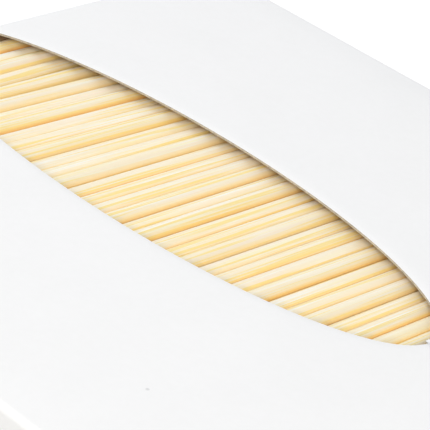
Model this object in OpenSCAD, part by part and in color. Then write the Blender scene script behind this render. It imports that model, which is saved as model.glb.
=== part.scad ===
// A flat paperboard carton packed with round wooden toothpicks that lie side by side.
// A long elliptical window is cut through the large top panel and runs over the fold at
// its -X end, so that it closes as a small notch in the end flap.
// Frame: +Z up, X along the carton, Y along the toothpicks, the origin in the middle of
// the underside. Sizes in millimetres.

/* [Carton] */
// Outer length of the carton, along X
carton_length = 95; // [85:1:120]
// Thickness of the paperboard
board = 0.3; // [0.2:0.05:0.5]
// Outer radius of the four long folds
long_fold_r = 0.6; // [0.5:0.05:0.9]
// Outer radius of the folds across the two ends
end_fold_r = 1; // [0.7:0.05:1.4]
// Free space beyond the points of the toothpicks, at each side panel
end_room = 2.75; // [1.5:0.25:6]
// Free space between the highest toothpick and the top panel
head_room = 0.84; // [0.3:0.02:2]
// Depth of the flap that the top panel turns down behind the far side panel
glue_flap_depth = 9; // [5:0.5:11]
// Drop of the far side panel's cut edge below the top panel
seam_drop = 0.5; // [0.1:0.05:0.8]
// Length of each dust flap, from the side panel inwards
dust_flap_length = 16; // [8:1:25]
// Side clearance of the end flaps, at each side panel
flap_inset = 0.7; // [0.5:0.1:1.5]
// Height of the outer end flap's free edge above the underside
outer_flap_lift = 1.6; // [1.5:0.1:3]
// Share of the carton's height that the inner end flap covers
inner_flap_share = 0.62; // [0.4:0.02:0.7]

/* [Window] */
// Length of the elliptical window, along X
window_length = 60; // [40:1:64]
// Width of the elliptical window, along Y
window_width = 19.1; // [12:0.1:30]
// Distance of the window's middle from the -X end of the carton
window_from_end = 28.1; // [26:0.1:45]
// Shift of the window's middle from the middle line of the top panel
window_shift = -1.1; // [-4:0.1:4]
// Width of the small tab left at the window's +X tip
tab_width = 0.5; // [0.3:0.1:1]
// Length of the small tab left at the window's +X tip
tab_length = 0.35; // [0.2:0.05:0.8]

/* [Toothpicks] */
// Length of a toothpick, point to point
pick_length = 65; // [60:1:70]
// Diameter of a toothpick's straight part
pick_d = 1.56; // [1.4:0.02:1.8]
// Length of each tapered end
point_length = 8.5; // [6:0.5:14]
// Diameter where the taper turns into the rounded point
point_d = 0.5; // [0.3:0.05:0.8]
// Diameter of the blunt face at the very end
blunt_d = 0.2; // [0.1:0.05:0.3]
// Least side gap between neighbouring toothpicks
side_gap = 0.02; // [0.01:0.01:0.1]
// Gap between a toothpick and what it lies on
seat_gap = 0.02; // [0.01:0.01:0.05]
// Number of nested layers below the top layer
lower_rows = 8; // [4:1:12]

/* [Top layer] */
// Mean angle of the toothpicks across the carton, in degrees
lean_angle = 2.5; // [0:0.05:3]
// Slow rise and fall of the lean along the carton, in degrees
lean_swing_angle = 0.35; // [0:0.05:0.5]
// Number of toothpicks over which the lean rises and falls once
lean_cycle_count = 20; // [16:1:40]
// Count of the toothpick that leans the most
lean_peak_count = 8; // [0:1:20]
// Number of toothpicks that lie straight along the -X end
straight_count = 4; // [1:1:6]
// Angle of those toothpicks across the carton, in degrees
straight_angle = 0.2; // [0:0.1:1]
// Number of toothpicks over which the lean then sets in
turn_count = 2; // [1:1:6]
// Greatest lift of a toothpick above the lowest ones of the layer
lift_max = 0.3; // [0.1:0.02:0.5]
// Greatest shift of a toothpick along its own length
slide_max = 0.8; // [0:0.1:1]
// Extra side gap where the layer has opened
open_gap = 0.03; // [0:0.01:0.14]
// Start number of the irregular lifts and shifts
scatter_seed = 16; // [1:1:50]

/* [Hidden] */
$fn = 48;
// the window's cuts run past the board by cut_over and cut_play
// and pass each other by slice_lap
cut_over = 0.5;
cut_play = 0.1;
slice_lap = 0.01;
half_length = carton_length / 2;
// one thickness is the glue flap behind the far side panel
inner_width = pick_length + 2 * end_room;
carton_width = inner_width + 3 * board;
half_width = carton_width / 2;
picks_y = -board / 2;

// lower layers nest in the hollows of the layer below
row_pitch = pick_d + side_gap;
row_rise = sqrt(pow(pick_d + seat_gap, 2) - pow(row_pitch / 2, 2));
first_row_z = board + seat_gap + pick_d / 2;
last_row_z = first_row_z + (lower_rows - 1) * row_rise;
// the top layer lies on the ridges of the last nested layer
top_row_z = last_row_z + pick_d + seat_gap;
carton_height = top_row_z + lift_max + pick_d / 2 + head_room + board;

// ends of the carton: outer flap, inner flap and dust flap lie against each other
dust_x = half_length - 2 * board;
inner_x = dust_x - board;
tube_play = 0.1;
tube_half = dust_x - max(long_fold_r, end_fold_r) - tube_play;
inner_flap_top = inner_flap_share * carton_height;
dust_clear = 0.5;
dust_bottom = board + dust_clear;
dust_top = carton_height - board - dust_clear;
top_fold_y = half_width - board - long_fold_r;

// window, in distances from its middle; the fold starts at fold_start
window_x = window_from_end - half_length;
window_a = window_length / 2;
window_b = window_width / 2;
window_points = 144;
fold_start = window_from_end - end_fold_r;
fold_arc = PI / 2 * (end_fold_r - board / 2);
fold_end = fold_start + fold_arc;
fold_steps = 6;
notch_steps = 12;
window_outline = [
  for (i = [0 : window_points - 1])
    let (a = 360 * i / window_points)
      [window_a * cos(a), window_b * sin(a)]
];
function window_half(u) = u < window_a ? window_b * sqrt(1 - pow(u / window_a, 2)) : 0;

// top layer: counts of the toothpicks after which the layer has opened
open_after = [0, 2, 5, 7, 10, 13, 17, 19, 22, 26, 29];
function opened(i) = len(search(i, open_after)) > 0;
function scatter(i, s) = let (v = sin(i * 127.1 + (s + scatter_seed) * 311.7) * 437.585) v - floor(v);
function full_lean(i) = lean_angle
  + lean_swing_angle * cos(360 * (i - lean_peak_count) / lean_cycle_count);
function turned(i) = min(1, max(0, i + 1 - straight_count) / turn_count);
function lean(i) = straight_angle + (full_lean(i) - straight_angle) * turned(i);
function lift(i) = lift_max * (opened(i) ? 1 : opened(i - 1) ? 0 : scatter(i, 1));
function slide(i) = slide_max * (2 * scatter(i, 2) - 1);
lean_reach = pick_length / 2 - point_length + slide_max;
wall_gap = 0.05;
first_x = -inner_x + pick_d / 2 + wall_gap + lean_reach * sin(straight_angle);
last_x = inner_x - pick_d / 2 - wall_gap - lean_reach * sin(lean_angle + lean_swing_angle);
room_x = last_x - first_x;
function step(i) = pick_d + side_gap + lean_reach * abs(sin(lean(i + 1) - lean(i)))
  + (opened(i) ? open_gap : 0);
most_picks = 120;
step_sums = [for (i = 0, s = 0; i < most_picks; s = s + step(i), i = i + 1) s];
top_count = len([for (s = step_sums) if (s <= room_x) s]);
spare = (room_x - step_sums[top_count - 1]) / (top_count - 1);
function top_x(i) = first_x + step_sums[i] + spare * i;
// the toothpicks that show in the window are the first ones from the -X end
seen_count = floor((window_from_end + window_a) / row_pitch);

// lower layers share the mean lean
row_pitch_x = row_pitch / cos(lean_angle);
lower_room = 2 * (inner_x - pick_d / 2 - wall_gap - lean_reach * sin(lean_angle));
lower_count = floor(lower_room / row_pitch_x) + 1;

function two_digits(n) = str(n < 10 ? "0" : "", n);
function pick_name(n) = str("toothpick_", two_digits(n));
function row_name(k) = str("toothpick_row_", two_digits(k));

// quarter ring of board around a fold, in the first quadrant
module fold_2d(r) {
  intersection() {
    difference() {
      circle(r = r);
      circle(r = r - board);
    }
    square([r, r]);
  }
}

// cross-section of the tube, x along Y and y along Z
module tube_2d() {
  wall = carton_height - 2 * long_fold_r;
  translate([-half_width + long_fold_r, 0])
    square([carton_width - 2 * long_fold_r, board]);
  translate([-half_width + long_fold_r, long_fold_r])
    rotate(180)
      fold_2d(long_fold_r);
  translate([-half_width, long_fold_r])
    square([board, wall]);
  translate([-half_width + long_fold_r, carton_height - long_fold_r])
    rotate(90)
      fold_2d(long_fold_r);
  translate([-half_width + long_fold_r, carton_height - board])
    square([top_fold_y + half_width - long_fold_r, board]);
  translate([top_fold_y, carton_height - long_fold_r])
    fold_2d(long_fold_r);
  translate([half_width - 2 * board, carton_height - long_fold_r - glue_flap_depth])
    square([board, glue_flap_depth]);
  translate([half_width - board, long_fold_r])
    square([board, carton_height - long_fold_r - seam_drop]);
  translate([half_width - long_fold_r, long_fold_r])
    rotate(270)
      fold_2d(long_fold_r);
}

// outer end flap turned down from the top panel at +X, x along X and y along Z
module outer_flap_2d() {
  translate([tube_half - tube_play, carton_height - board])
    square([half_length - end_fold_r - tube_half + tube_play, board]);
  translate([half_length - end_fold_r, carton_height - end_fold_r])
    fold_2d(end_fold_r);
  translate([half_length - board, outer_flap_lift])
    square([board, carton_height - end_fold_r - outer_flap_lift]);
}

// inner end flap turned up from the bottom panel at +X, x along X and y along Z
module inner_flap_2d() {
  flap_x = half_length - board;
  translate([tube_half - tube_play, 0])
    square([flap_x - end_fold_r - tube_half + tube_play, board]);
  translate([flap_x - end_fold_r, end_fold_r])
    rotate(270)
      fold_2d(end_fold_r);
  translate([flap_x - board, end_fold_r])
    square([board, inner_flap_top - end_fold_r]);
}

// dust flap turned in from the far side panel at +X, seen from above
module dust_flap_2d() {
  translate([tube_half - tube_play, half_width - board])
    square([dust_x - long_fold_r - tube_half + tube_play, board]);
  translate([dust_x - long_fold_r, half_width - long_fold_r])
    fold_2d(long_fold_r);
  translate([dust_x - board, half_width - dust_flap_length])
    square([board, dust_flap_length - long_fold_r]);
}

// an outline in x and z, drawn out from y_from to y_to
module drawn_along_y(y_from, y_to) {
  translate([0, y_to, 0])
    rotate([90, 0, 0])
      linear_extrude(height = y_to - y_from)
        children();
}

// closed +X end of the carton
module end_wrap() {
  drawn_along_y(-half_width + flap_inset, top_fold_y)
    outer_flap_2d();
  drawn_along_y(-half_width + flap_inset, half_width - flap_inset)
    inner_flap_2d();
  for (s = [0, 1])
    mirror([0, s, 0])
      translate([0, 0, dust_bottom])
        linear_extrude(height = dust_top - dust_bottom)
          dust_flap_2d();
}

// the part of the window in the flat top panel
module window_flat_2d() {
  difference() {
    intersection() {
      polygon(window_outline);
      translate([-min(fold_start, window_a + cut_over), -window_width])
        square([window_length + window_a, 2 * window_width]);
    }
    translate([window_a - tab_length, -tab_width / 2])
      square([2 * tab_length, tab_width]);
  }
}

// one slice of the window across the end fold, in the plane of the unfolded board
module window_slice(k) {
  mid_angle = 90 * (k + 0.5) / fold_steps;
  reach = end_fold_r * tan(45 / fold_steps) + slice_lap;
  near = window_half(fold_start + fold_arc * k / fold_steps);
  far = window_half(fold_start + fold_arc * (k + 1) / fold_steps);
  translate([end_fold_r - half_length, 0, carton_height - end_fold_r])
    rotate([0, -mid_angle, 0])
      translate([0, 0, end_fold_r - board - cut_play])
        linear_extrude(height = board + cut_over)
          polygon([[reach, near], [-reach, far], [-reach, -far], [reach, -near]]);
}

// the notch in the outer end flap, x along Y and y along Z
module notch_2d() {
  drop = window_a - fold_end;
  edge = [for (i = [0 : notch_steps]) let (t = i / notch_steps) drop * (1 - pow(1 - t, 2))];
  top = carton_height - end_fold_r;
  right = [for (d = edge) [window_half(fold_end + d), top - d]];
  left = [for (i = [notch_steps - 1 : -1 : 0]) [-right[i][0], right[i][1]]];
  polygon(concat(
    [[-right[0][0], top + slice_lap], [right[0][0], top + slice_lap]],
    right,
    left
  ));
}

module window_cut() {
  translate([window_x, window_shift, carton_height - board - cut_over])
    linear_extrude(height = board + 2 * cut_over)
      window_flat_2d();
  if (fold_start < window_a)
    for (k = [0 : fold_steps - 1])
      if (fold_start + fold_arc * k / fold_steps < window_a)
        translate([0, window_shift, 0])
          window_slice(k);
  if (fold_end < window_a - cut_play)
    translate([-half_length - cut_over, window_shift, 0])
      rotate([90, 0, 90])
        linear_extrude(height = board + cut_over + cut_play)
          notch_2d();
}

module carton() {
  color([0.95, 0.95, 0.95])
    difference() {
      union() {
        translate([-tube_half, 0, 0])
          rotate([90, 0, 90])
            linear_extrude(height = 2 * tube_half)
              tube_2d();
        end_wrap();
        mirror([1, 0, 0])
          end_wrap();
      }
      window_cut();
    }
}

// a toothpick turned about its own length, which lies along Y
module toothpick() {
  half = pick_length / 2;
  tip = (point_d - blunt_d) / 2;
  rotate([-90, 0, 0])
    rotate_extrude()
      polygon([
        [0, -half],
        [blunt_d / 2, -half],
        [point_d / 2, -half + tip],
        [pick_d / 2, -half + point_length],
        [pick_d / 2, half - point_length],
        [point_d / 2, half - tip],
        [blunt_d / 2, half],
        [0, half]
      ]);
}

module top_pick(i) {
  color([0.93, 0.82, 0.6])
    translate([top_x(i), picks_y, top_row_z + lift(i)])
      rotate(-lean(i))
        translate([0, slide(i), 0])
          toothpick();
}

// the rest of the top layer, from the last toothpick that shows to the +X end
module top_rest() {
  for (i = [seen_count : top_count - 1])
    top_pick(i);
}

// layer k, counted from the floor; every second layer has one toothpick less
module lower_row(k) {
  count = lower_count - (k + 1) % 2;
  color([0.9, 0.78, 0.56])
    for (j = [0 : count - 1])
      translate([(j - (count - 1) / 2) * row_pitch_x, picks_y, first_row_z + (k - 1) * row_rise])
        rotate(-lean_angle)
          toothpick();
}

carton();
for (n = [1 : seen_count])
  top_pick(n - 1);
top_rest();  // toothpick_row_top
for (k = [1 : lower_rows])
  lower_row(k);
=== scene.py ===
import bpy
import math
from mathutils import Matrix, Vector, noise
from mathutils.geometry import delaunay_2d_cdt


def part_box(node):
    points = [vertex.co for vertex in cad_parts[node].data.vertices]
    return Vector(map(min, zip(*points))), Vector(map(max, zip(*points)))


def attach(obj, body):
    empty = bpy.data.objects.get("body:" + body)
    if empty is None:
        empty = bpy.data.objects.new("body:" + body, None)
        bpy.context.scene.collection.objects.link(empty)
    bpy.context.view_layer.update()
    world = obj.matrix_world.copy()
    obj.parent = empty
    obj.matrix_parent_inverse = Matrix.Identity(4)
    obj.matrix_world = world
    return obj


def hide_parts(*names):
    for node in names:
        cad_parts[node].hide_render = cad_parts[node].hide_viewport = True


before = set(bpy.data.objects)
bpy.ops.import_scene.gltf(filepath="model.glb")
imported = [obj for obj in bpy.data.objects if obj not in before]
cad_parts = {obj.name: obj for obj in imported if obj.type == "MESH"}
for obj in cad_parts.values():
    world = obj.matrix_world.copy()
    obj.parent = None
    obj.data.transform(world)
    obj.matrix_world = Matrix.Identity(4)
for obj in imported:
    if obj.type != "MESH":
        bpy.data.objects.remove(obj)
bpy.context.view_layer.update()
scene = bpy.context.scene
scene.view_settings.view_transform = "Standard"

# The view: a close look down along the pack from above its near side, so that the
# picture cuts the carton off on three sides. Place and directions are in metres.
view_place = Vector((0.08324, -0.12492, 0.10072))
view_right = Vector((0.71086, 0.67938, 0.18198))
view_ahead = Vector((-0.53525, 0.69041, -0.48667))
back = -view_ahead.normalized()
right = (view_right - view_right.project(back)).normalized()
camera_data = bpy.data.cameras.new("camera")
camera_data.sensor_width = 36
camera_data.lens = 179.12
camera_data.clip_start = 0.01
camera = bpy.data.objects.new("camera", camera_data)
scene.collection.objects.link(camera)
turn = Matrix((right, back.cross(right), back)).transposed().to_4x4()
camera.matrix_world = Matrix.Translation(view_place) @ turn
scene.camera = camera


# The studio: a plain white floor that keeps a soft shadow, white all round to the eye,
# with light from every side and two soft lamps, one on the viewer's side and one
# beyond the -X end.
def add_node(tree, kind, inputs=None, **settings):
    made = tree.nodes.new(kind)
    for name, value in settings.items():
        setattr(made, name, value)
    for name, value in (inputs or {}).items():
        if isinstance(value, bpy.types.NodeSocket):
            tree.links.new(value, made.inputs[name])
        else:
            made.inputs[name].default_value = value
    return made


def seen_as_white(tree):
    path = add_node(tree, "ShaderNodeLightPath")
    mirrored = add_node(tree, "ShaderNodeMath", {0: path.outputs["Is Camera Ray"],
                        1: path.outputs["Is Glossy Ray"]}, operation="MAXIMUM")
    return add_node(tree, "ShaderNodeMath", {0: mirrored.outputs[0],
                    1: path.outputs["Is Transmission Ray"]}, operation="MAXIMUM").outputs[0]


def new_finish(name):
    finish = bpy.data.materials.new(name)
    finish.use_nodes = True
    finish.node_tree.nodes.clear()
    return finish, finish.node_tree


world = bpy.data.worlds.new("studio")
scene.world = world
world.use_nodes = True
sky = world.node_tree
sky.nodes.clear()
around = add_node(sky, "ShaderNodeBackground", {"Color": (0.93, 0.955, 1, 1),
                  "Strength": 0.55})
white = add_node(sky, "ShaderNodeBackground", {"Color": (1, 1, 1, 1), "Strength": 1.0})
both = add_node(sky, "ShaderNodeMixShader", {0: seen_as_white(sky), 1: around.outputs[0],
                2: white.outputs[0]})
add_node(sky, "ShaderNodeOutputWorld", {"Surface": both.outputs[0]})

floor_half, floor_drop = 1.5, 0.0001
floor_mesh = bpy.data.meshes.new("floor")
floor_mesh.from_pydata([(x * floor_half, y * floor_half, -floor_drop)
                        for x, y in ((-1, -1), (1, -1), (1, 1), (-1, 1))], [], [(0, 1, 2, 3)])
studio_floor = bpy.data.objects.new("floor", floor_mesh)
scene.collection.objects.link(studio_floor)
floor_paint, paint = new_finish("white_floor")
matt = add_node(paint, "ShaderNodeBsdfDiffuse", {"Color": (0.5, 0.5, 0.5, 1)})
shine = add_node(paint, "ShaderNodeEmission", {"Color": (1, 1, 1, 1), "Strength": 0.62})
lit = add_node(paint, "ShaderNodeAddShader", {0: matt.outputs[0], 1: shine.outputs[0]})
either = add_node(paint, "ShaderNodeMixShader", {0: seen_as_white(paint), 1: matt.outputs[0],
                  2: lit.outputs[0]})
add_node(paint, "ShaderNodeOutputMaterial", {"Surface": either.outputs[0]})
floor_mesh.materials.append(floor_paint)

lit_spot = Vector((-0.02, 0, 0.014))


def hang_lamp(name, place, size, watts, tint):
    lamp_data = bpy.data.lights.new(name, "AREA")
    lamp_data.size = size
    lamp_data.energy = watts
    lamp_data.color = tint
    lamp = bpy.data.objects.new(name, lamp_data)
    scene.collection.objects.link(lamp)
    aim = (lit_spot - Vector(place)).to_track_quat("-Z", "Y")
    lamp.matrix_world = Matrix.Translation(place) @ aim.to_matrix().to_4x4()


hang_lamp("soft_lamp_viewer_side", (0.42, -0.55, 0.44), size=0.3, watts=3.5,
          tint=(1, 0.95, 0.84))
hang_lamp("soft_lamp_end_side", (-0.5, -0.18, 0.45), size=0.5, watts=2.1,
          tint=(0.96, 0.98, 1))

# The carton: one die-cut blank of white coated paperboard, folded round the toothpicks.
# The top panel turns down behind the far side as a glue flap, and at each end dust flaps,
# inner flap and outer flap lie over each other. Its sizes are in millimetres.
mm = 0.001
board = 0.3
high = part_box("carton")[1]
half_length, half_width, height = high.x / mm, high.y / mm, high.z / mm
long_r, end_r = 0.6, 1.0
long_mid_r, end_mid_r = long_r - board / 2, end_r - board / 2
long_arc = math.pi / 2 * long_mid_r
flap_play = 0.1
tube_end = half_length - 2 * board - end_r - flap_play
far_fold_y, near_fold_y = half_width - board - long_r, long_r - half_width
side_wall = height - 2 * long_r
floor_width = 2 * (half_width - long_r)
glue_flap_length = 9

# the top panel sinks a little at its folds, so the far side's raw edge stops below that
far_sag, near_sag, seam_gap = 0.24, 0.1, 0.5

# distances along the blank, across its long folds: y on the top panel, then on and on
at_far_fold = far_fold_y
at_glue_flap = at_far_fold + long_arc
at_glue_end = at_glue_flap + glue_flap_length
at_near_fold = near_fold_y
at_near_side = at_near_fold - long_arc
at_near_foot = at_near_side - side_wall
at_floor = at_near_foot - long_arc
at_floor_end = at_floor - floor_width
at_far_side = at_floor_end - long_arc
at_seam = at_far_side - (height - long_r - (seam_gap + far_sag))

# end flaps: where the fold starts along the carton, its radius, and the flap's free end
outer_flap_lift, inner_flap_share, dust_flap_length = 1.6, 0.62, 16
top_flap = (half_length - end_r, end_mid_r, height - board / 2 - outer_flap_lift)
floor_flap = (half_length - board - end_r, end_mid_r, inner_flap_share * height - board / 2)
dust_flap = (half_length - 2 * board - long_r, long_mid_r, dust_flap_length - board / 2)
flap_inset, dust_inset = 0.7, 0.5
dust_low, dust_high = board + dust_inset, height - board - dust_inset


def flap_end(flap):
    fold, radius, depth = flap
    return fold + math.pi / 2 * radius + depth - radius


def across_blank(v):
    """Place and outward direction in y and z at v across the blank, and its end flap."""
    if v > at_glue_flap:
        return far_fold_y + long_mid_r, height - long_r - (v - at_glue_flap), 1, 0, None
    if v > at_far_fold:
        a = (v - at_far_fold) / long_mid_r
        return (far_fold_y + long_mid_r * math.sin(a),
                height - long_r + long_mid_r * math.cos(a),
                math.sin(a), math.cos(a), None)
    if v >= at_near_fold:
        return v, height - board / 2, 0, 1, top_flap
    if v > at_near_side:
        a = (at_near_fold - v) / long_mid_r
        return (near_fold_y - long_mid_r * math.sin(a),
                height - long_r + long_mid_r * math.cos(a),
                -math.sin(a), math.cos(a), None)
    if v >= at_near_foot:
        return board / 2 - half_width, height - long_r - (at_near_side - v), -1, 0, dust_flap
    if v > at_floor:
        a = (at_near_foot - v) / long_mid_r
        return (near_fold_y - long_mid_r * math.cos(a),
                long_r - long_mid_r * math.sin(a),
                -math.cos(a), -math.sin(a), None)
    if v >= at_floor_end:
        return near_fold_y + at_floor - v, board / 2, 0, -1, floor_flap
    if v > at_far_side:
        a = (at_floor_end - v) / long_mid_r
        return (half_width - long_r + long_mid_r * math.sin(a),
                long_r - long_mid_r * math.cos(a),
                math.sin(a), -math.cos(a), None)
    return half_width - board / 2, long_r + at_far_side - v, 1, 0, dust_flap


def fold_up(u, v, outwards):
    """The folded place of the blank's point u, v, moved outwards from mid-board."""
    y, z, out_y, out_z, flap = across_blank(v)
    side = -1 if u < 0 else 1
    x, depth, cosine, sine = abs(u), 0, 1, 0
    if flap and abs(u) > flap[0]:
        past = abs(u) - flap[0]
        a = min(past / flap[1], math.pi / 2)
        cosine, sine = math.cos(a), math.sin(a)
        x = flap[0] + flap[1] * sine
        depth = flap[1] * (1 - cosine) + max(past - math.pi / 2 * flap[1], 0)
    return Vector((side * (x + outwards * sine), y + out_y * (outwards * cosine - depth),
                   z + out_z * (outwards * cosine - depth)))


# the blank's outline, and the long elliptical window with its small tab at one tip
def on_near_side(z):
    return at_near_side - (height - long_r - z)


def on_far_side(z):
    return at_far_side - (z - long_r)


def on_floor(y):
    return at_floor - (y - near_fold_y)


flap_low, flap_high = flap_inset - half_width, half_width - flap_inset
right_edge = [(tube_end, at_glue_end), (tube_end, at_far_fold),
              (flap_end(top_flap), at_far_fold), (flap_end(top_flap), flap_low),
              (tube_end, flap_low), (tube_end, on_near_side(dust_high)),
              (flap_end(dust_flap), on_near_side(dust_high)),
              (flap_end(dust_flap), on_near_side(dust_low)),
              (tube_end, on_near_side(dust_low)), (tube_end, on_floor(flap_low)),
              (flap_end(floor_flap), on_floor(flap_low)),
              (flap_end(floor_flap), on_floor(flap_high)),
              (tube_end, on_floor(flap_high)), (tube_end, on_far_side(dust_low)),
              (flap_end(dust_flap), on_far_side(dust_low)),
              (flap_end(dust_flap), on_far_side(dust_high)),
              (tube_end, on_far_side(dust_high)), (tube_end, at_seam)]
outline = right_edge + [(-u, v) for u, v in reversed(right_edge)]
outline_sides = list(zip(outline, outline[1:] + outline[:1]))

window_from_end = 28.1
window_x, window_y = window_from_end - half_length, -1.1
window_a, window_b = 30.0, 9.55
tab_half, tab_length = 0.25, 0.35
least_ring, least_slope = 0.01, 1e-6


def inside_window(u, v):
    du, dv = u - window_x, v - window_y
    if du > window_a - tab_length and abs(dv) < tab_half:
        return False
    return (du / window_a) ** 2 + (dv / window_b) ** 2 < 1


def from_window(u, v):
    """Distance from the window's edge, nearly, on the board's side of it."""
    du, dv = u - window_x, v - window_y
    ring = math.hypot(du / window_a, dv / window_b)
    slope = math.hypot(du / window_a ** 2, dv / window_b ** 2) / max(ring, least_ring)
    gap = (ring - 1) / max(slope, least_slope)
    if du > window_a - 2 * tab_length:
        tab = max(abs(dv) - tab_half, window_a - tab_length - du)
        if gap > 0 and tab > 0:
            gap = min(gap, tab)
        elif gap < 0:
            gap = max(-tab, 0)
    return max(gap, 0)


def from_edge(u, v):
    """Distance from the nearest raw edge at the blank's outline."""
    nearest = math.inf
    for (au, av), (bu, bv) in outline_sides:
        along_u, along_v = bu - au, bv - av
        t = ((u - au) * along_u + (v - av) * along_v) / (along_u ** 2 + along_v ** 2)
        t = min(max(t, 0), 1)
        nearest = min(nearest, math.hypot(u - au - t * along_u, v - av - t * along_v))
    return nearest


def on_blank(u, v):
    side = abs(u)
    if v > at_glue_end or v < at_seam:
        return False
    if side < tube_end:
        return True
    if flap_low < v < at_far_fold:
        return side < flap_end(top_flap)
    if on_near_side(dust_low) < v < on_near_side(dust_high):
        return side < flap_end(dust_flap)
    if on_floor(flap_high) < v < on_floor(flap_low):
        return side < flap_end(floor_flap)
    if on_far_side(dust_high) < v < on_far_side(dust_low):
        return side < flap_end(dust_flap)
    return False


# points on the blank: closer along the folds and round the window, where the board bends
points, lines = [], []


def spread(start, end, step):
    count = max(1, round(abs(end - start) / step))
    return [start + (end - start) * i / count for i in range(count + 1)]


def draw_line(chain, closed=False):
    first = len(points)
    points.extend(chain)
    lines.extend((first + i, first + i + 1) for i in range(len(chain) - 1))
    if closed:
        lines.append((len(points) - 1, first))


grid, arc_steps = 2.6, 8
near_folds, fold_band = (0.25, 0.6, 1.1, 1.8, 2.8, 4.2), 6.5
columns = spread(-tube_end, tube_end, grid)
top_rows = ([at_near_fold + d for d in near_folds]
            + spread(at_near_fold + fold_band, at_far_fold - fold_band, grid)
            + [at_far_fold - d for d in reversed(near_folds)])
floor_rows = spread(at_floor, at_floor_end, grid)
near_rows = spread(at_near_side, at_near_foot, grid)
far_rows = spread(at_far_side, at_seam, grid)
glue_rows = spread(at_glue_flap, at_glue_end, grid)
bent = []
for start, end in ((at_far_fold, at_glue_flap), (at_near_fold, at_near_side),
                   (at_near_foot, at_floor), (at_floor_end, at_far_side)):
    bent += [start + (end - start) * i / arc_steps for i in range(arc_steps + 1)]
for v in bent:
    draw_line([(u, v) for u in columns])
rim_bands = (0.015, 0.04, 0.08, 0.14, 0.22, 0.34, 0.5, 0.8, 1.3, 2.0)
for v in top_rows + floor_rows[1:-1] + near_rows[1:-1] + far_rows[1:] + glue_rows[1:]:
    for u in columns:
        if not inside_window(u, v) and from_window(u, v) > rim_bands[-1]:
            points.append((u, v))
for flap, rows in ((top_flap, [flap_low] + top_rows + [at_far_fold]),
                   (dust_flap, spread(on_near_side(dust_high), on_near_side(dust_low), grid)),
                   (floor_flap, spread(on_floor(flap_low), on_floor(flap_high), grid)),
                   (dust_flap, spread(on_far_side(dust_low), on_far_side(dust_high), grid))):
    bend_end = flap[0] + math.pi / 2 * flap[1]
    for side in (-1, 1):
        for i in range(arc_steps + 1):
            u = side * (flap[0] + (bend_end - flap[0]) * i / arc_steps)
            draw_line([(u, v) for v in rows])
        for u in spread(bend_end, flap_end(flap), grid)[1:]:
            for v in rows:
                if not inside_window(side * u, v) and from_window(side * u, v) > rim_bands[-1]:
                    points.append((side * u, v))

edge_step, edge_insets, inset_slack = 0.5, (0.03, 0.1), 0.9
for (au, av), (bu, bv) in outline_sides:
    length = math.hypot(bu - au, bv - av)
    steps = spread(0, 1, min(1, edge_step / length))
    draw_line([(au + (bu - au) * t, av + (bv - av) * t) for t in steps])
    in_u, in_v = (bv - av) / length, (au - bu) / length
    for inset in edge_insets:
        for t in steps:
            u, v = au + (bu - au) * t + in_u * inset, av + (bv - av) * t + in_v * inset
            if on_blank(u, v) and from_edge(u, v) > inset * inset_slack:
                points.append((u, v))

rim_step, clear_of_tab = math.pi / 170, 3
tip_angle = math.asin(tab_half / window_b)
angles = spread(tip_angle, 2 * math.pi - tip_angle, rim_step)
rim = [(window_x + window_a * math.cos(a), window_y + window_b * math.sin(a)) for a in angles]
tip = window_x + window_a - tab_length
tab_back, tab_corner, tab_front = 0.12, 0.03, 0.1
rim += [(tip + tab_back, window_y - tab_half),
        (tip + tab_corner, window_y - tab_half + tab_corner),
        (tip, window_y - tab_half + tab_front), (tip, window_y + tab_half - tab_front),
        (tip + tab_corner, window_y + tab_half - tab_corner),
        (tip + tab_back, window_y + tab_half)]
draw_line(rim, closed=True)
for distance in rim_bands:
    for a in angles[clear_of_tab:-clear_of_tab]:
        lean = Vector((math.cos(a) / window_a, math.sin(a) / window_b)).normalized()
        points.append((window_x + window_a * math.cos(a) + distance * lean.x,
                       window_y + window_b * math.sin(a) + distance * lean.y))

merge_distance = 1e-5
flat = delaunay_2d_cdt([Vector(p) for p in points], lines, [], 0, merge_distance)
flat_points, flat_faces = flat[0], flat[2]
board_faces = []
for face in flat_faces:
    u = sum(flat_points[i].x for i in face) / len(face)
    v = sum(flat_points[i].y for i in face) / len(face)
    if on_blank(u, v) and not inside_window(u, v):
        board_faces.append(tuple(face))


# the board gives a little where it bends, and sags in slight waves between its folds
far_reach, far_curve, near_reach, near_curve, sag_foot = 2.6, 1.1, 2.0, 1.3, 4
wave_along, wave_across, wave_cut, wave_depth, wave_mean = 24, 17, 0.3, 0.05, 0.04
held_by_fold, held_by_end = 6, 8


def settle(u, v):
    """How far the top panel's board lies below its flat place."""
    far, near = at_far_fold - v, v - at_near_fold
    if far < 0:
        drop = far_sag * max(0, 1 + far / sag_foot)
    elif near < 0:
        drop = near_sag * max(0, 1 + near / sag_foot)
    else:
        drop = (far_sag * math.exp(-(far / far_reach) ** far_curve)
                + near_sag * math.exp(-(near / near_reach) ** near_curve))
    if far < 0 or near < 0 or abs(u) > tube_end:
        return drop
    wave = noise.noise(Vector((u / wave_along, v / wave_across, wave_cut)))
    wave = wave * wave_depth + wave_mean
    hold = min(1, far / held_by_fold, near / held_by_fold, (tube_end - abs(u)) / held_by_end)
    return drop + wave * max(hold, 0)


def round_off(distance, radius):
    if distance >= radius:
        return 0
    return radius - math.sqrt(radius ** 2 - (radius - distance) ** 2)


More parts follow.
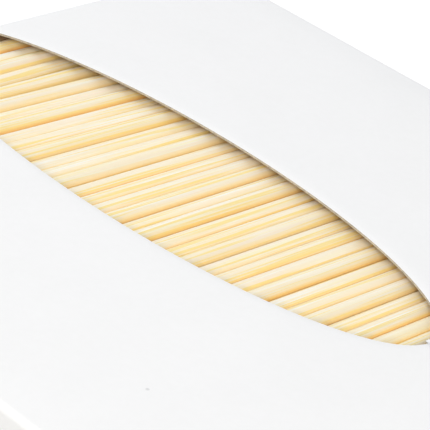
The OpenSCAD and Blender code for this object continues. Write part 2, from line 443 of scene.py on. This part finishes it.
# its outer face is pressed down where the knife cut the window, and each edge is rounded
knife_press, press_reach = 0.06, 0.42
window_edge_r, outline_edge_r = 0.05, 0.04
used = sorted({i for face in board_faces for i in face})
renumber = {old: new for new, old in enumerate(used)}
outer, inner, flat_places = [], [], []
for i in used:
    u, v = flat_points[i].x, flat_points[i].y
    sink = Vector((0, 0, -settle(u, v))) if v > at_near_foot else Vector((0, 0, 0))
    cut = from_window(u, v) if abs(v) < half_width else math.inf
    press = (knife_press * math.exp(-(cut / press_reach) ** 2) + round_off(cut, window_edge_r)
             + round_off(from_edge(u, v), outline_edge_r))
    outer.append((fold_up(u, v, board / 2 - press) + sink) * mm)
    inner.append((fold_up(u, v, -board / 2) + sink) * mm)
    flat_places.append((u, v, sink))
count = len(used)
corners = outer + inner
faces = [tuple(renumber[i] for i in face) for face in board_faces]
sides = dict.fromkeys((a, b) for face in faces for a, b in zip(face, face[1:] + face[:1]))
raw = [(a, b) for a, b in sides if (b, a) not in sides]
all_faces = faces + [tuple(count + i for i in reversed(face)) for face in faces]

# the cut edge goes down through the board in three strips of pulp
pulp_shares, stations = (0.3, -0.35), {}
for share in pulp_shares:
    for a, b in raw:
        for i in (a, b):
            if (share, i) not in stations:
                u, v, sink = flat_places[i]
                stations[(share, i)] = len(corners)
                corners.append((fold_up(u, v, share * board / 2) + sink) * mm)
for a, b in raw:
    down_a, down_b = ([i] + [stations[(share, i)] for share in pulp_shares] + [count + i]
                      for i in (a, b))
    for k in range(len(pulp_shares) + 1):
        all_faces.append((down_b[k], down_a[k], down_a[k + 1], down_b[k + 1]))

carton_mesh = bpy.data.meshes.new("folded_carton")
carton_mesh.from_pydata(corners, [], all_faces)
carton_mesh.validate()
carton_mesh.polygons.foreach_set("use_smooth", [True] * len(carton_mesh.polygons))
coated_face, cut_edge, brown_back = 0, 1, 2
finishes = [coated_face] * len(faces) + [brown_back] * len(faces)
finishes += [cut_edge] * (len(all_faces) - len(finishes))
carton_mesh.polygons.foreach_set("material_index", finishes)
inner_rim = {(min(count + a, count + b), max(count + a, count + b)) for a, b in raw}
for edge in carton_mesh.edges:
    edge.use_edge_sharp = tuple(sorted(edge.vertices)) in inner_rim
carton = bpy.data.objects.new("folded_carton", carton_mesh)
scene.collection.objects.link(carton)

# its face is white coated board with a faint mottle and one small grey speck
coated, coat = new_finish("white_coated_board")
place = add_node(coat, "ShaderNodeTexCoord").outputs["Object"]
mottle = add_node(coat, "ShaderNodeTexNoise", {"Vector": place, "Scale": 110.0, "Detail": 5.0,
                  "Roughness": 0.6})
grit = add_node(coat, "ShaderNodeTexNoise", {"Vector": place, "Scale": 1500.0, "Detail": 3.0,
                "Roughness": 0.7})
blend = add_node(coat, "ShaderNodeMix", {"Factor": 0.45, 2: mottle.outputs[0],
                 3: grit.outputs[0]}, data_type="FLOAT")
patchy = add_node(coat, "ShaderNodeMapRange", {"Value": blend.outputs[0], "From Min": 0.3,
                  "From Max": 0.7})
board_white = add_node(coat, "ShaderNodeMix", {"Factor": patchy.outputs[0],
                       6: (0.885, 0.883, 0.887, 1), 7: (0.912, 0.91, 0.916, 1)},
                       data_type="RGBA")
speck_place, speck_edge, speck_middle = (0.00335, -0.02535, 0.0144), 0.00022, 0.0001
from_speck = add_node(coat, "ShaderNodeVectorMath", {0: place, 1: speck_place},
                      operation="DISTANCE")
speck = add_node(coat, "ShaderNodeMapRange", {"Value": from_speck.outputs["Value"],
                 "From Min": speck_edge, "From Max": speck_middle})
face_tone = add_node(coat, "ShaderNodeMix", {"Factor": speck.outputs[0],
                     6: board_white.outputs[2], 7: (0.72, 0.72, 0.73, 1)}, data_type="RGBA")
relief = add_node(coat, "ShaderNodeBump", {"Height": grit.outputs[0], "Strength": 0.25,
                  "Distance": 0.00002})
skin = add_node(coat, "ShaderNodeBsdfPrincipled", {"Base Color": face_tone.outputs[2],
                "Roughness": 0.55, "IOR": 1.45, "Specular IOR Level": 0.15,
                "Normal": relief.outputs[0]})
add_node(coat, "ShaderNodeOutputMaterial", {"Surface": skin.outputs[0]})

# its cut edges are grey pulp and its back is plain brown pulp
pulp_boards = []
for name, dark, light in (("cut_edge_pulp", (0.43, 0.37, 0.29, 1), (0.62, 0.56, 0.46, 1)),
                          ("brown_back_pulp", (0.5, 0.34, 0.19, 1), (0.64, 0.46, 0.28, 1))):
    pulp_board, pulp = new_finish(name)
    place = add_node(pulp, "ShaderNodeTexCoord").outputs["Object"]
    fibre = add_node(pulp, "ShaderNodeTexNoise", {"Vector": place, "Scale": 2600.0,
                     "Detail": 3.0, "Roughness": 0.6})
    spread_tone = add_node(pulp, "ShaderNodeMapRange", {"Value": fibre.outputs[0],
                           "From Min": 0.3, "From Max": 0.7})
    pulp_tone = add_node(pulp, "ShaderNodeMix", {"Factor": spread_tone.outputs[0], 6: dark,
                         7: light}, data_type="RGBA")
    fuzz = add_node(pulp, "ShaderNodeBump", {"Height": fibre.outputs[0], "Strength": 0.5,
                    "Distance": 0.00003})
    flesh = add_node(pulp, "ShaderNodeBsdfPrincipled", {"Base Color": pulp_tone.outputs[2],
                     "Roughness": 0.85, "Normal": fuzz.outputs[0]})
    add_node(pulp, "ShaderNodeOutputMaterial", {"Surface": flesh.outputs[0]})
    pulp_boards.append(pulp_board)

for finish in [coated] + pulp_boards:
    carton_mesh.materials.append(finish)
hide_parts("carton")
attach(carton, "root")

# The toothpicks: birch, turned round and tapered to a rounded point at both ends, then
# tumbled smooth. They lie side by side across the carton, loose, held by nothing but it.
turning = bpy.data.node_groups.new("turned_toothpicks", "GeometryNodeTree")
turning.is_modifier = True
turning.interface.new_socket("Geometry", in_out="INPUT", socket_type="NodeSocketGeometry")
socket_ids = {}
for name, kind, value in (("Sides", "Int", 48), ("Rings", "Int", 60),
                          ("Length", "Float", 0.065), ("Width", "Float", 0.00156),
                          ("Point Length", "Float", 0.0085),
                          ("Point Width", "Float", 0.0005), ("Blunt Width", "Float", 0.0002),
                          ("Unevenness", "Float", 0.00003), ("Seed", "Int", 1),
                          ("Wood", "Material", None)):
    socket = turning.interface.new_socket(name, in_out="INPUT",
                                          socket_type="NodeSocket" + kind)
    if value is not None:
        socket.default_value = value
    socket_ids[name] = socket.identifier
turning.interface.new_socket("Geometry", in_out="OUTPUT", socket_type="NodeSocketGeometry")
given = add_node(turning, "NodeGroupInput").outputs


def calculate(operation, a, b=0.0):
    return add_node(turning, "ShaderNodeMath", {0: a, 1: b}, operation=operation).outputs[0]


def place_here():
    return add_node(turning, "GeometryNodeInputPosition").outputs[0]


def read_mark(name):
    return add_node(turning, "GeometryNodeInputNamedAttribute", {"Name": name},
                    data_type="FLOAT_VECTOR").outputs["Attribute"]


def mark(picks, name, value, kind, domain="POINT"):
    return add_node(turning, "GeometryNodeStoreNamedAttribute", {
        "Geometry": picks, "Name": name, "Value": value}, data_type=kind,
        domain=domain).outputs[0]


# a cylinder of length 2 and radius 1 becomes the pick: closer rings towards the points
blank_pick = add_node(turning, "GeometryNodeMeshCylinder", {"Vertices": given["Sides"],
                      "Side Segments": given["Rings"], "Radius": 1.0, "Depth": 2.0})
spot = add_node(turning, "ShaderNodeSeparateXYZ", {0: place_here()}).outputs
half_pick = calculate("MULTIPLY", given["Length"], 0.5)
along = calculate("MULTIPLY", half_pick, calculate("SINE", calculate(
    "MULTIPLY", spot[2], math.pi / 2)))
from_tip = calculate("SUBTRACT", half_pick, calculate("ABSOLUTE", along))
blunt_r = calculate("MULTIPLY", given["Blunt Width"], 0.5)
point_r = calculate("MULTIPLY", given["Point Width"], 0.5)
full_r = calculate("MULTIPLY", given["Width"], 0.5)
round_depth = calculate("SUBTRACT", point_r, blunt_r)
tip_line = calculate("ADD", blunt_r, from_tip)
rise = calculate("DIVIDE", calculate("SUBTRACT", full_r, point_r),
                 calculate("SUBTRACT", given["Point Length"], round_depth))
taper_line = calculate("ADD", point_r, calculate("MULTIPLY", rise, calculate(
    "SUBTRACT", from_tip, round_depth)))
radius = calculate("MINIMUM", full_r, calculate("MINIMUM", tip_line, taper_line))
turned_spot = add_node(turning, "ShaderNodeCombineXYZ", {
    0: calculate("MULTIPLY", spot[0], radius), 1: along,
    2: calculate("MULTIPLY", calculate("MULTIPLY", spot[1], radius), -1.0)})
turned = add_node(turning, "GeometryNodeSetPosition", {
    "Geometry": blank_pick.outputs["Mesh"], "Position": turned_spot.outputs[0]})
grained = mark(turned.outputs[0], "grain", place_here(), "FLOAT_VECTOR")
# how far out to the side of the pick each point lies, which the wood reads to paint shade into
# the crevices between picks
off_axis = add_node(turning, "ShaderNodeSeparateXYZ", {0: place_here()}).outputs[0]
sided = mark(grained, "beside", calculate("DIVIDE", calculate("ABSOLUTE", off_axis), full_r),
             "FLOAT")

# one pick on each point, turned as the point says, each cut from another place in the wood
lie = add_node(turning, "FunctionNodeEulerToRotation", {0: read_mark("turn")})
laid = add_node(turning, "GeometryNodeInstanceOnPoints", {
    "Points": given["Geometry"], "Instance": sided, "Rotation": lie.outputs[0]})
tree_spot = add_node(turning, "FunctionNodeRandomValue", {
    "Min": (-1.0, -1.0, -1.0), "Max": (1.0, 1.0, 1.0), "Seed": given["Seed"]},
    data_type="FLOAT_VECTOR")
tone_seed_step = 77.0
tone_pick = add_node(turning, "FunctionNodeRandomValue", {"Seed": calculate(
    "ADD", given["Seed"], tone_seed_step)}, data_type="FLOAT")
placed = mark(laid.outputs[0], "tree_spot", tree_spot.outputs["Value"], "FLOAT_VECTOR",
              domain="INSTANCE")
toned = mark(placed, "tone", tone_pick.outputs[1], "FLOAT", domain="INSTANCE")
real_picks = add_node(turning, "GeometryNodeRealizeInstances", {"Geometry": toned})
own_grain = add_node(turning, "ShaderNodeVectorMath", {0: read_mark("grain"),
                     1: read_mark("tree_spot")}, operation="ADD")
cut_from = mark(real_picks.outputs[0], "grain", own_grain.outputs[0], "FLOAT_VECTOR")

# tumbling leaves the turned surface very slightly uneven, in lumps that run lengthwise
lumps_across, lumps_along = 900.0, 45.0
stretch = add_node(turning, "ShaderNodeVectorMath", {0: read_mark("grain"),
                   1: (lumps_across, lumps_along, lumps_across)}, operation="MULTIPLY")
lumps = add_node(turning, "ShaderNodeTexNoise", {"Vector": stretch.outputs[0], "Scale": 1.0,
                 "Detail": 1.0})
sunk = calculate("MULTIPLY", calculate("MULTIPLY", lumps.outputs[0], given["Unevenness"]), -1.0)
inwards = add_node(turning, "ShaderNodeVectorMath", {0: add_node(
    turning, "GeometryNodeInputNormal").outputs[0], "Scale": sunk}, operation="SCALE")
worn = add_node(turning, "GeometryNodeSetPosition", {"Geometry": cut_from,
                "Offset": inwards.outputs[0]})
smooth = add_node(turning, "GeometryNodeSetShadeSmooth", {"Geometry": worn.outputs[0]})
wooden = add_node(turning, "GeometryNodeSetMaterial", {"Geometry": smooth.outputs[0],
                  "Material": given["Wood"]})
add_node(turning, "NodeGroupOutput", {0: wooden.outputs[0]})

# pale birch: fine straight fibres along the pick, broad cream, yellow and pink bands,
# and painted shade on the flanks, amber and then honey where each pick dips towards its
# neighbours
birch, wood = new_finish("polished_birch")
grain = add_node(wood, "ShaderNodeAttribute", attribute_name="grain").outputs["Vector"]
tone_here = add_node(wood, "ShaderNodeAttribute", attribute_name="tone").outputs["Fac"]
beside = add_node(wood, "ShaderNodeAttribute", attribute_name="beside").outputs["Fac"]


def streaks(across, along, detail):
    mapped = add_node(wood, "ShaderNodeMapping", {"Vector": grain,
                      "Scale": (across, along, across)})
    return add_node(wood, "ShaderNodeTexNoise", {"Vector": mapped.outputs[0], "Scale": 1.0,
                    "Detail": detail, "Roughness": 0.6}).outputs[0]


def between(value, start, end):
    return add_node(wood, "ShaderNodeMapRange", {"Value": value, "From Min": start,
                    "From Max": end}).outputs[0]


def mixed(share, under, over):
    made = add_node(wood, "ShaderNodeMix", {"Factor": share, 6: under, 7: over},
                    data_type="RGBA")
    return made.outputs[2]


def both_shares(one, other):
    return add_node(wood, "ShaderNodeMath", {0: one, 1: other},
                    operation="MULTIPLY").outputs[0]


cream, straw, rose = (0.95, 0.91, 0.77, 1), (0.955, 0.88, 0.57, 1), (0.955, 0.845, 0.71, 1)
sand, chalk, tan = (0.955, 0.86, 0.62, 1), (0.955, 0.94, 0.87, 1), (0.955, 0.85, 0.65, 1)
# the amber and honey colours are painted crevice shade, not colours of the wood
golden, crevice_shade_amber, deep_crevice_shade_honey = (0.97, 0.79, 0.36, 1), (0.985, 0.73, 0.29, 1), (0.94, 0.56, 0.2, 1)
bands = streaks(1500.0, 24.0, 2.0)
pink = streaks(2100.0, 45.0, 2.0)
fibres = streaks(7500.0, 90.0, 3.0)
gold = streaks(3900.0, 40.0, 2.0)
pale = streaks(4800.0, 45.0, 2.0)
ground = mixed(between(bands, 0.44, 0.58), cream, straw)
ground = mixed(between(pink, 0.5, 0.6), ground, rose)
ground = mixed(between(tone_here, 0.3, 1.6), ground, sand)
ground = mixed(between(pale, 0.52, 0.6), ground, chalk)
ground = mixed(between(fibres, 0.6, 0.42), ground, tan)
ground = mixed(between(gold, 0.53, 0.59), ground, golden)
# painted shade: the flanks of each pick, down in the crevices between neighbours, turn amber,
# more on some picks than others
painted_crevice_shade = both_shares(between(beside, 0.66, 0.98), between(tone_here, -0.4, 0.8))
ground = mixed(painted_crevice_shade, ground, crevice_shade_amber)
# deeper painted shade: the lowest part of each flank, next to the crevice, turns honey brown
painted_deep_crevice_shade = both_shares(between(beside, 0.86, 1.0), between(tone_here, 0.35, 0.95))
ground = mixed(painted_deep_crevice_shade, ground, deep_crevice_shade_honey)
ridges = add_node(wood, "ShaderNodeBump", {"Height": fibres, "Strength": 0.3,
                  "Distance": 0.00003})
timber = add_node(wood, "ShaderNodeBsdfPrincipled", {"Base Color": ground, "Roughness": 0.5,
                  "IOR": 1.45, "Specular IOR Level": 0.2, "Normal": ridges.outputs[0]})
add_node(wood, "ShaderNodeOutputMaterial", {"Surface": timber.outputs[0]})

# where each toothpick lies is read from the points of the CAD model's node
tip_zone, pick_gap, tip_depth, decimals = 0.0025, 0.0005, 0.00005, 7


def pick_ends(node):
    """Both ends of every pick in a CAD node, from the small rings of its points."""
    places = [v.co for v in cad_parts[node].data.vertices]
    near_limit = min(p.y for p in places) + tip_zone
    far_limit = max(p.y for p in places) - tip_zone
    found = []
    for tips in ([p for p in places if p.y < near_limit],
                 [p for p in places if p.y > far_limit]):
        tips.sort(key=lambda p: p.x)
        groups = [[tips[0]]]
        for p in tips[1:]:
            if p.x - groups[-1][-1].x > pick_gap:
                groups.append([])
            groups[-1].append(p)
        middles = []
        for group in groups:
            out = max(abs(p.y) for p in group)
            blunt = {tuple(round(side, decimals) for side in p) for p in group
                     if abs(p.y) > out - tip_depth}
            middles.append(sum((Vector(p) for p in blunt), Vector()) / len(blunt))
        found.append(middles)
    return list(zip(*found))


def lay_picks(node, piece_name, sides, rings, unevenness, seed):
    spots, turns = [], []
    for near_end, far_end in pick_ends(node):
        spots.append((near_end + far_end) / 2)
        along_pick = far_end - near_end
        turns.append((0, 0, math.atan2(-along_pick.x, along_pick.y)))
    spot_mesh = bpy.data.meshes.new(piece_name)
    spot_mesh.from_pydata(spots, [], [])
    turn_values = spot_mesh.attributes.new("turn", "FLOAT_VECTOR", "POINT")
    turn_values.data.foreach_set("vector", [value for t in turns for value in t])
    piece = bpy.data.objects.new(piece_name, spot_mesh)
    scene.collection.objects.link(piece)
    maker = piece.modifiers.new("turning", "NODES")
    maker.node_group = turning
    for name, value in (("Sides", sides), ("Rings", rings), ("Unevenness", unevenness),
                        ("Seed", seed), ("Wood", birch)):
        maker[socket_ids[name]] = value
    depsgraph = bpy.context.evaluated_depsgraph_get()
    made = bpy.data.meshes.new_from_object(piece.evaluated_get(depsgraph),
                                           preserve_all_data_layers=True, depsgraph=depsgraph)
    piece.modifiers.clear()
    piece.data = made
    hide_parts(node)
    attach(piece, "root")


# the toothpicks that show in the window, each a piece of its own
seen_nodes = sorted(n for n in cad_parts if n.startswith("toothpick_") and "row" not in n)
for number, node in enumerate(seen_nodes, start=1):
    lay_picks(node, "birch_" + node, sides=48, rings=60, unevenness=0.00003, seed=number)

# The rest of the top layer and the layers below: the same toothpicks, hidden by the
# carton and by the ones on top, so they are turned with fewer facets.
hidden_nodes = sorted(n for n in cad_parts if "row" in n)
first_hidden_seed = 101
for number, node in enumerate(hidden_nodes, start=first_hidden_seed):
    lay_picks(node, "birch_" + node, sides=12, rings=8, unevenness=0.0, seed=number)
